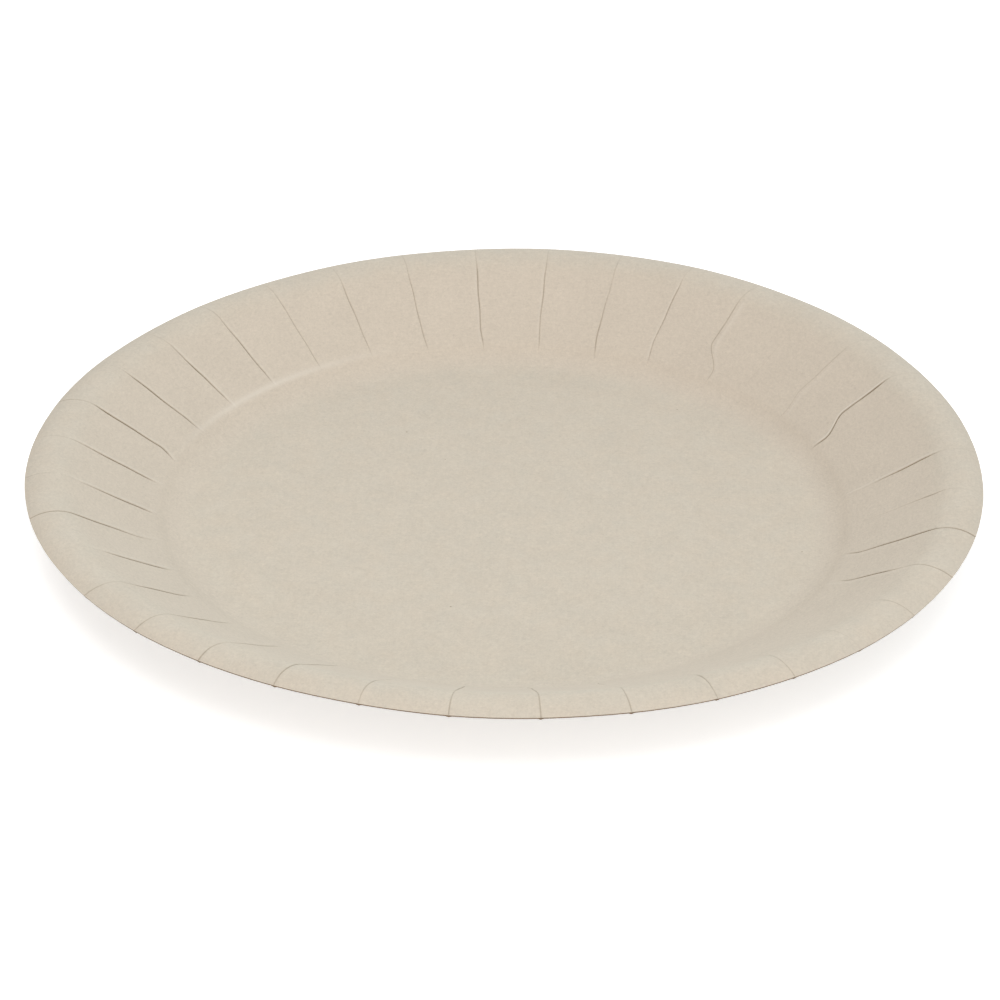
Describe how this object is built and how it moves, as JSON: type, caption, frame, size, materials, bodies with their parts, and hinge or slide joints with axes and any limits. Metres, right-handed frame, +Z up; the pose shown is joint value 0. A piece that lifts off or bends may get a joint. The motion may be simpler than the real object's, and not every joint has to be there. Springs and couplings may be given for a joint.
{
  "type": "paper plate",
  "caption": "Round pressed kraft board plate with a flat floor, a sloping pleated wall, a rounded crest and a turned-down brim.",
  "frame": {"origin": "centre of the underside of the floor, on the surface that the plate stands on", "axes": "+Z up out of the plate along its axis; the first pleat lies 4.2 degrees round from +X, and -Y is the side nearest the viewer of the picture"},
  "size_m": [0.23, 0.23, 0.0169],
  "materials": {
    "kraft_board": "matt uncoated kraft paperboard"
  },
  "bodies": {
    "root": {"plate": "kraft_board"}
  },
  "joints": []
}
